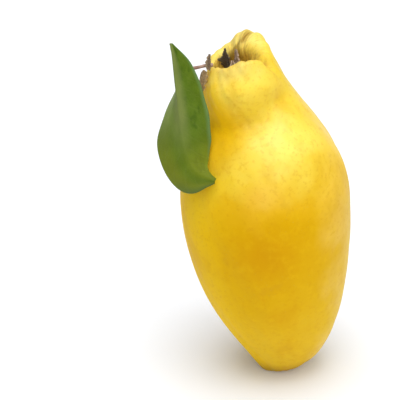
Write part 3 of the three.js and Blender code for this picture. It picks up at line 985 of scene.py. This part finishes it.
def make_leaf():
    """The blade: a folded, cupped sheet. Its edge waves by a sine along it times the cube of the way
    across, and a groove follows the upper midrib, a bell across it."""
    rows, columns = 170, 90
    t, s = blade_places(rows, columns)
    widen = 1 + 0.012 * np.sin(t * 41 + 2 * s)
    grid = blade_grid(BLADE_LINE, BLADE_FACE, t, s, BLADE_CUP, widen, LEAF_FOLD_SOFT)
    wave = LEAF_WAVE * np.sin(t * 19 + 1.5 * np.sign(s)) * np.abs(s) ** 3 * smoothstep(0, 0.2, t)
    groove = LEAF_GROOVE * np.exp(-((s / LEAF_GROOVE_WIDTH) ** 2))
    groove *= smoothstep(0, 0.08, t) * (1 - smoothstep(0.35, 0.7, t))
    grid += (wave - groove)[..., None] * sheet_normals(grid)
    front, back, band = sheet_faces(rows, columns)
    leaf = make_piece(
        "quince_leaf", thick_sheet(grid, np.full(t.shape, LEAF_THICKNESS)), front + back + band,
        "leaf_blade", [leaf_upper(), leaf_under()])
    leaf.data.polygons.foreach_set("material_index", [1] * len(front) + [0] * len(back + band))
    keep_places(leaf, t, s)


def make_stub():
    """The broken stalk: a short tube that stands out of its pit, square to the skin without its fine
    relief. A sine round it ridges it, and another splinters its hollowed end."""
    angle, place = STALK_PIT[:2]
    around = skin(np.full(2, place), np.array([angle - 1.0, angle + 1.0]), 0)
    upwards = skin(np.array([place - 0.01, place + 0.01]), np.full(2, float(angle)), 0)
    outward = unit(np.cross(around[1] - around[0], upwards[1] - upwards[0]))
    foot = skin(np.array(place), np.array(float(angle)), 0)
    steps, sides = 14, 36
    t = np.linspace(0, 1, steps)
    path = foot + (STUB_RAISED + STUB_LENGTH * t)[:, None] * outward
    rings = tube_points(path, STUB_RADIUS * (1 - 0.12 * t - 0.25 * smoothstep(0.8, 1, t)), sides)
    turn = 2 * np.pi * np.arange(sides) / sides
    ridges = 1 + 0.05 * np.sin(turn * STUB_RIDGES)
    rings = path[:, None] + (rings - path[:, None]) * ridges[:, None]
    rings[-1] += 0.18 * np.sin(turn * STUB_SPLINTERS + 1)[:, None] * outward
    points = np.vstack([rings.reshape(-1, 3), path[:1], path[-1:] - 0.2 * outward])
    make_piece("broken_stalk", points, ring_faces(steps, sides), "stalk_stub",
               [woody("stalk_wood", *STUB_BROWNS, 900)])


# ------------------------------------------------------------------ floor, light and camera


def aim(thing, eye, right, up):
    """Stand a camera or light at a point, with its own right and up directions."""
    back = np.cross(right, up)
    thing.matrix_world = Matrix(np.vstack([np.stack([right, up, back, eye], 1), [0, 0, 0, 1]]).tolist())


def make_camera():
    """A long lens that looks down by its elevation and is turned by its roll, with the resting spot
    at its own place in the view."""
    level_right = np.array([1.0, 0, 0])
    forward = np.array([0, np.cos(CAMERA_ELEVATION), -np.sin(CAMERA_ELEVATION)])
    level_up = np.cross(level_right, forward)
    right = level_right * np.cos(CAMERA_ROLL) - level_up * np.sin(CAMERA_ROLL)
    up = level_up * np.cos(CAMERA_ROLL) + level_right * np.sin(CAMERA_ROLL)
    centre = -right * SPOT_RIGHT_OF_CENTRE + up * SPOT_BELOW_CENTRE
    lens = bpy.data.cameras.new("view")
    lens.sensor_width = SENSOR
    lens.lens = SENSOR * CAMERA_DISTANCE / FRAME_WIDTH
    camera = bpy.data.objects.new("view", lens)
    bpy.context.collection.objects.link(camera)
    aim(camera, centre - forward * CAMERA_DISTANCE, right, up)
    bpy.context.scene.camera = camera


def make_lamp(name, towards, spread, strength):
    """A far soft light that comes from a direction and fills a cone of the sky as wide as its spread."""
    light = bpy.data.lights.new(name, "SUN")
    light.angle = np.radians(spread)
    light.energy = strength
    light.color = LAMP_COLOUR
    lamp = bpy.data.objects.new(name, light)
    bpy.context.collection.objects.link(lamp)
    back = unit(np.array(towards, float))
    right = unit(np.cross([0, 0, 1.0], back))
    aim(lamp, back, right, np.cross(back, right))


def make_light():
    """A pale room, a soft light overhead, and a wider, weaker key from the front right."""
    world = bpy.data.worlds.new("pale_room")
    world.use_nodes = True
    sky = world.node_tree.nodes["Background"]
    sky.inputs["Color"].default_value = ROOM_COLOUR
    sky.inputs["Strength"].default_value = ROOM_STRENGTH
    bpy.context.scene.world = world
    for name, lamp in LAMPS.items():
        make_lamp(name, *lamp)


def make_floor():
    """A wide, plain white table."""
    finish = Finish("table_white", Roughness=0.9, Specular_IOR_Level=0.1,
                    Emission_Color=TABLE_GLOW_COLOUR, Emission_Strength=TABLE_GLOW)
    paper = finish.noise(finish.place(), 3, 1)
    corners = TABLE_HALF_WIDTH * np.array([[-1, -1, 0], [1, -1, 0], [1, 1, 0], [-1, 1, 0]])
    mesh = bpy.data.meshes.new("table")
    mesh.from_pydata(corners.tolist(), [], [[0, 1, 2, 3]])
    mesh.materials.append(finish.wear(Base_Color=finish.mix(paper, *TABLE_WHITES)))
    table = bpy.data.objects.new("table", mesh)
    bpy.context.collection.objects.link(table)


make_floor()
make_light()
make_camera()
make_fruit()
make_calyx()
make_stamens()
make_leaf_stalk()
make_leaf()
make_stub()

bpy.context.scene.view_settings.view_transform = "Standard"
bpy.context.view_layer.update()
